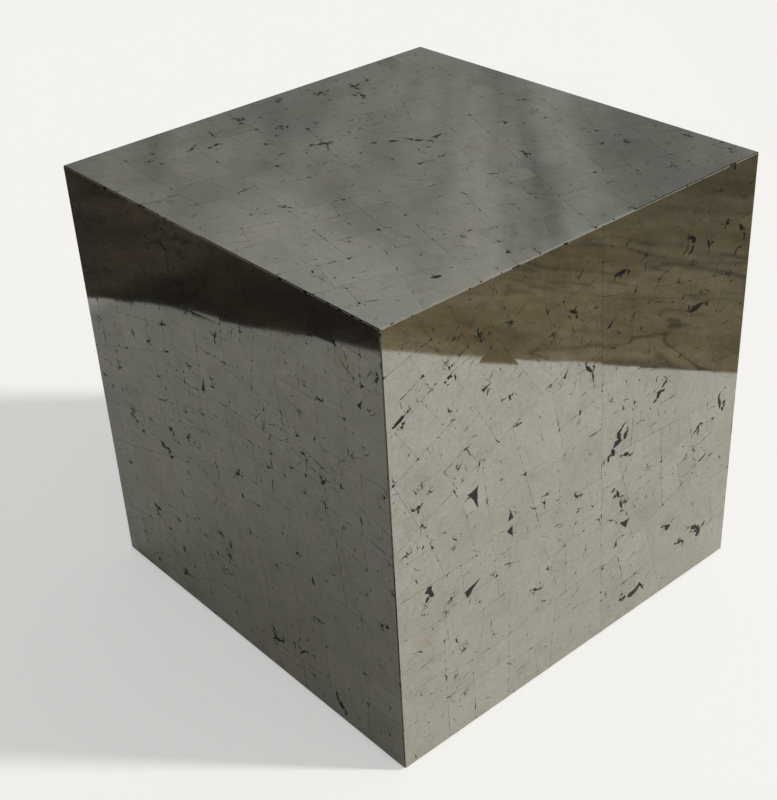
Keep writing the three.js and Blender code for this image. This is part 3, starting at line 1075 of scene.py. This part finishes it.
def insert_nuts():
    """Flanged nuts in the base board, with a coarse thread outside to bite into the wood."""
    first = "insert_nut_front_left"
    low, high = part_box(first)
    flange, height = (high.x - low.x) / 2, high.z - low.z
    profile = [(NUT_BORE, NUT_LEAD), (NUT_BORE + NUT_LEAD, 0), (flange, 0), (flange, NUT_FLANGE)]
    profile += [(NUT_BARREL, NUT_FLANGE), (NUT_BARREL, height), (NUT_BORE, height)]
    body = tidied("insert_nut", *turned(eased(profile, 0.3 * MM) + profile[:1]))
    foot = NUT_FLANGE + 1.2 * MM
    winding = ridge("insert_nut_thread", NUT_CREST, NUT_RIDGE, NUT_PITCH, foot, height - MM)
    nodes = [f"insert_nut_{corner}" for corner in CORNERS]
    fasteners("insert_nuts", joined("insert_nut", [body, winding]), first, nodes)


# A glide's radii, and the collar that a spanner turns it by.
BALL, NECK, SOCKET, MOUTH = 4.2 * MM, 2.8 * MM, 4.5 * MM, 3.94 * MM
STEM_CREST, STEM_CORE = 5 * MM, 5 * MM * 0.83
STEM_RIDGE, STEM_PITCH = 1.1 * MM, 1.5 * MM
COLLAR_FLATS, COLLAR_HEIGHT, COLLAR_BEVEL = 17 * MM, 4 * MM, 0.7 * MM
UNDER_NUT = 0.3 * MM
GLIDE_SIDES = 72


def threaded_stem(low, high, collar_top):
    """A screw stem with a collar, and a ball at its foot."""
    centre, collar_low = low.z + BALL, collar_top - COLLAR_HEIGHT
    rise = math.pi / 2 + math.acos(NECK / BALL)
    angles = [-math.pi / 2 + rise * i / 12 for i in range(1, 13)]
    profile = [(0, low.z)] + [(BALL * math.cos(a), centre + BALL * math.sin(a)) for a in angles]
    collar, on_flat = (high.x - low.x) / 2, COLLAR_FLATS / 2 - 0.2 * MM
    under = [profile[-1], (NECK, collar_low), (on_flat, collar_low), (collar, collar_low + COLLAR_BEVEL)]
    over = [(collar, collar_top - COLLAR_BEVEL), (on_flat, collar_top), (STEM_CORE, collar_top)]
    profile += eased(under, 0.3 * MM)[1:] + eased(over, 0.2 * MM)
    profile += [(STEM_CORE, high.z - MM), (STEM_CREST * 0.6, high.z), (0, high.z)]
    stem = tidied("glide_stem", *turned(profile, GLIDE_SIDES, COLLAR_FLATS))
    foot = collar_top + 0.8 * MM
    winding = ridge("stem_thread", STEM_CREST, STEM_RIDGE, STEM_PITCH, foot, high.z - MM)
    return joined("threaded_stem", [stem, winding])


def swivel_pad(low, high, centre):
    """A nylon pad that snaps on to a ball whose centre is at the given height."""
    radius, mouth = (high.x - low.x) / 2, (MOUTH, high.z)
    start = math.asin((high.z - centre) / SOCKET)
    angles = [start - (start + math.pi / 2) * i / 10 for i in range(1, 11)]
    inside = [(SOCKET * math.cos(a), centre + SOCKET * math.sin(a)) for a in angles]
    outside = [(0, low.z), (radius - 0.8 * MM, low.z), (radius, low.z + 0.8 * MM)]
    outside += [(radius, high.z - 2.4 * MM), (radius - 2.2 * MM, high.z - 0.6 * MM)]
    outside += [(radius * 0.55, high.z - 1.6 * MM), (radius * 0.42, high.z), mouth]
    profile = eased(outside, 1.2 * MM, 5)[:-1] + [mouth] + inside[:-1] + [(0, inside[-1][1])]
    return tidied("swivel_pad", *turned(profile, GLIDE_SIDES))


def felt_sole(low, high):
    edge, top = (high.x - low.x) / 2, high.z
    profile = [(0, 0), (edge - 0.6 * MM, 0), (edge, 0.6 * MM), (edge - 0.1 * MM, top - 0.2 * MM)]
    profile += [(edge - 0.5 * MM, top), (0, top)]
    return tidied("felt_sole", *turned(eased(profile, 0.4 * MM), GLIDE_SIDES))


def glide(corner):
    """A threaded stem in a nylon pad with a felt sole. Its heights are the plain solids'."""
    stem, pad, sole = (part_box(f"glide_{part}_{corner}") for part in ("stem", "pad", "sole"))
    collar_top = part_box(f"insert_nut_{corner}")[0].z - UNDER_NUT
    axis = Matrix.Translation(((stem[0].x + stem[1].x) / 2, (stem[0].y + stem[1].y) / 2, 0))
    for name, node, mesh, finish, body, slot in (
        ("threaded_stem", "glide_stem", threaded_stem(*stem, collar_top), ZINC, "glide_stem", "zinc"),
        ("swivel_pad", "glide_pad", swivel_pad(*pad, stem[0].z + BALL), NYLON, "glide_pad", "nylon"),
        ("felt_sole", "glide_sole", felt_sole(*sole), FELT, "glide_pad", "felt"),
    ):
        mesh.transform(axis)
        piece(f"{name}_{corner}", mesh, finish, f"{body}_{corner}", slot, f"{node}_{corner}")


def dress(node, finish):
    """Gives a plain solid that stays its finish."""
    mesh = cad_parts[node].data
    mesh.materials.clear()
    mesh.materials.append(finish)


def carcass():
    """The box that the stone is laid on."""
    level = birch_plywood("plywood, lying flat", 2, 0)
    dress("carcass_top_board", level)
    dress("base_board", level)
    for side in SIDES:
        across_y = side in ("front", "back")
        finish = birch_plywood(f"plywood, {side}", 1 if across_y else 0, 2)
        dress(f"carcass_{side}_board", finish)
        dress(f"base_rail_{side}", pine(f"pine rail, {side}", 0 if across_y else 1))
    post = pine("pine post", 2)
    for corner in CORNERS:
        dress(f"corner_post_{corner}", post)


# ---------------------------------------------------------------- studio


HEADING, PITCH, ROLL = (math.radians(a) for a in (39.55, 32.02, 3.23))


def camera():
    """Above and to the left of the front face, and turned a little clockwise."""
    lens = bpy.data.cameras.new("camera")
    lens.lens = 63.9
    lens.sensor_width = 36
    lens.clip_end = 50
    made = bpy.data.objects.new("camera", lens)
    bpy.context.scene.collection.objects.link(made)
    turn = Matrix.Rotation(-HEADING, 4, "Z") @ Matrix.Rotation(math.pi / 2 - PITCH, 4, "X")
    place = Matrix.Translation(SIDE * Vector((-1.763, -2.042, 2.113)))
    made.matrix_world = place @ turn @ Matrix.Rotation(-ROLL, 4, "Z")
    bpy.context.scene.camera = made


def sheet_object(name, corners, finish):
    mesh = bpy.data.meshes.new(name)
    mesh.from_pydata(corners, [], [range(len(corners))])
    mesh.materials.append(finish)
    made = bpy.data.objects.new(name, mesh)
    bpy.context.scene.collection.objects.link(made)
    return made


def pale_floor(name, brightness, glow):
    f = Finish(name)
    mottle = f.noise(f.here, 6.0, 4.0)
    colour = f.blend(mottle, (0.98, 0.975, 0.955), (1.0, 0.995, 0.975))
    f.set(Base_Color=f.times(colour, brightness), Roughness=0.85)
    f.set(Emission_Color=(1.0, 0.995, 0.985, 1.0), Emission_Strength=glow)
    return f.material


def dark_cloth(name, low, high):
    """Olive brown cloth, with painted shade along long creases and towards +X, for the polished faces to
    mirror.
    """
    f = Finish(name)
    along = f.stretched(f.here, (1.0, 1.0, 1.0), (0.0, 0.0, math.radians(-57)))
    weave = f.noise(along, 45.0, 6.0, 0.7)
    drift = f.noise(f.stretched(along, (3.0, 6.0, 1.0)), 1.0, 5.0, 0.65, 0.6)
    # Painted shade: thin dark lines along the creases of a flat sheet.
    crease_shade = f.maths("ABSOLUTE", f.noise(f.stretched(along, (2.0, 5.0, 1.0)), 1.0, 4.0, 0.5, 0.9) - 0.5)
    colour = f.blend(f.clamp(drift, 0.3, 0.7), low, high)
    # Painted shade: the cloth darkens the further it lies towards +X.
    away = Wire(f, f.node("ShaderNodeSeparateXYZ", {}, {0: f.here}).outputs[0])
    shade = f.clamp(weave, 0.25, 0.75, 0.8, 1.2) * f.clamp(away, 0.2, 1.1, 1.2, 0.6)
    colour = f.times(colour, shade * f.clamp(crease_shade, 0.0, 0.011, 0.4, 1.0))
    f.set(Base_Color=colour, Roughness=0.9)
    return f.material


def wavy_edge(point, along, length, steps, seed):
    """A line across the floor that wanders a little."""
    across = Vector((-along.y, along.x))
    found = []
    for i in range(steps + 1):
        at = (i / steps - 0.5) * length
        found.append(point + along * at + across * 0.02 * noise.noise(Vector((at * 5, seed, 0))))
    return found


FAR = 12  # metres from the middle of the floor to its edge


def ground():
    """A pale floor, with dark cloth on either side of the table that only the polish sees."""
    corners = [(-FAR, -FAR, 0), (FAR, -FAR, 0), (FAR, FAR, 0), (-FAR, FAR, 0)]
    seen = sheet_object("floor", corners, pale_floor("pale floor", 0.72, 0.46))
    lower = [(x, y, -MM) for x, y, _ in corners]
    mirrored = sheet_object("mirrored_floor", lower, pale_floor("grey floor", 0.8, 0.0))
    seen.visible_glossy = seen.visible_diffuse = seen.visible_shadow = False
    mirrored.visible_camera = False
    for name, foot, bearing, side, low, high in (
        ("dark_ground_right", Vector((0.388, -0.617)), 53.1, -1, (0.17, 0.135, 0.08), (0.33, 0.285, 0.20)),
        # The left cloth is the same cloth as on the right with darker colours: painted shade.
        ("dark_ground_left", Vector((-0.592, 0.585)), 65.5, 1, (0.035, 0.027, 0.02), (0.075, 0.062, 0.048)),
    ):
        along = pointing(bearing)
        outward = Vector((-along.y, along.x)) * side
        edge = wavy_edge(foot, along, 2.4, 120, side)
        ends = [edge[0] - along * 6, *edge, edge[-1] + along * 6]
        beyond = [ends[-1] + outward * 8, ends[0] + outward * 8]
        outline = [(*p, 1.5 * MM) for p in [*ends, *beyond]]
        cloth = sheet_object(name, outline if side == 1 else outline[::-1], dark_cloth(name, low, high))
        cloth.visible_camera = cloth.visible_diffuse = cloth.visible_shadow = False


def sky():
    """Soft light from all round, brightest on the key's side, and a pale backdrop to look at."""
    world = bpy.data.worlds.new("studio")
    bpy.context.scene.world = world
    world.use_nodes = True
    g = Graph(world.node_tree)
    g.tree.nodes.clear()
    towards = g.add("ShaderNodeTexCoord")
    facing_key = g.vector("DOT_PRODUCT", towards, KEY, out=1)
    turned_to_lens = g.stretched(towards, (1.0, 1.0, 1.0), (0.0, 0.0, HEADING))
    folds = g.noise(g.stretched(turned_to_lens, (5.5, 2.6, 3.6)), 1.0, 4.0, 0.6, 0.5)
    beyond = g.vector("DOT_PRODUCT", towards, BEYOND, out=1)
    light = 0.13 + 0.28 * g.clamp(facing_key, 0.0, 1.0) + 0.10 * g.clamp(beyond, 0.55, 1.0)
    light = light * g.clamp(folds, 0.36, 0.64, 0.6, 1.3)
    seen = g.add("ShaderNodeLightPath")
    soft = g.add("ShaderNodeBackground", {}, {"Color": (0.985, 0.99, 0.935, 1.0), "Strength": light})
    backdrop = g.add("ShaderNodeBackground", {}, {"Color": (0.86, 0.86, 0.85, 1.0), "Strength": 1.0})
    mixed = g.add("ShaderNodeMixShader", {}, {0: seen, 1: soft, 2: backdrop})
    g.plug(g.node("ShaderNodeOutputWorld", {}, {}).inputs[0], mixed)


def key_light():
    lamp = bpy.data.lights.new("key", "SUN")
    lamp.energy = 2.4
    lamp.angle = 0.09
    lamp.color = (1.0, 0.985, 0.95)
    made = bpy.data.objects.new("key", lamp)
    made.rotation_euler = KEY.to_track_quat("Z", "Y").to_euler()
    made.visible_glossy = False
    bpy.context.scene.collection.objects.link(made)


KEY = Vector((0.70, -0.714, 0.58)).normalized()  # towards the key light
BEYOND = Vector((0.58, 0.70, 0.48)).normalized()  # what the polished top mirrors

# ---------------------------------------------------------------- making it all

bpy.context.scene.view_settings.view_transform = "Standard"
camera()
ground()
sky()
key_light()

PYRITE = polished_pyrite()
RESIN = black_resin()
ZINC = zinc_plate()
NYLON = black_nylon()
FELT = grey_felt()
THREAD = thread()
PIT_TREE = pit_scatter(pit_outlines())
carcass()
base_screws()
top_screws()
insert_nuts()
for corner in CORNERS:
    glide(corner)
for number, name in enumerate(["top", *SIDES]):
    clad(name, 11 + number)
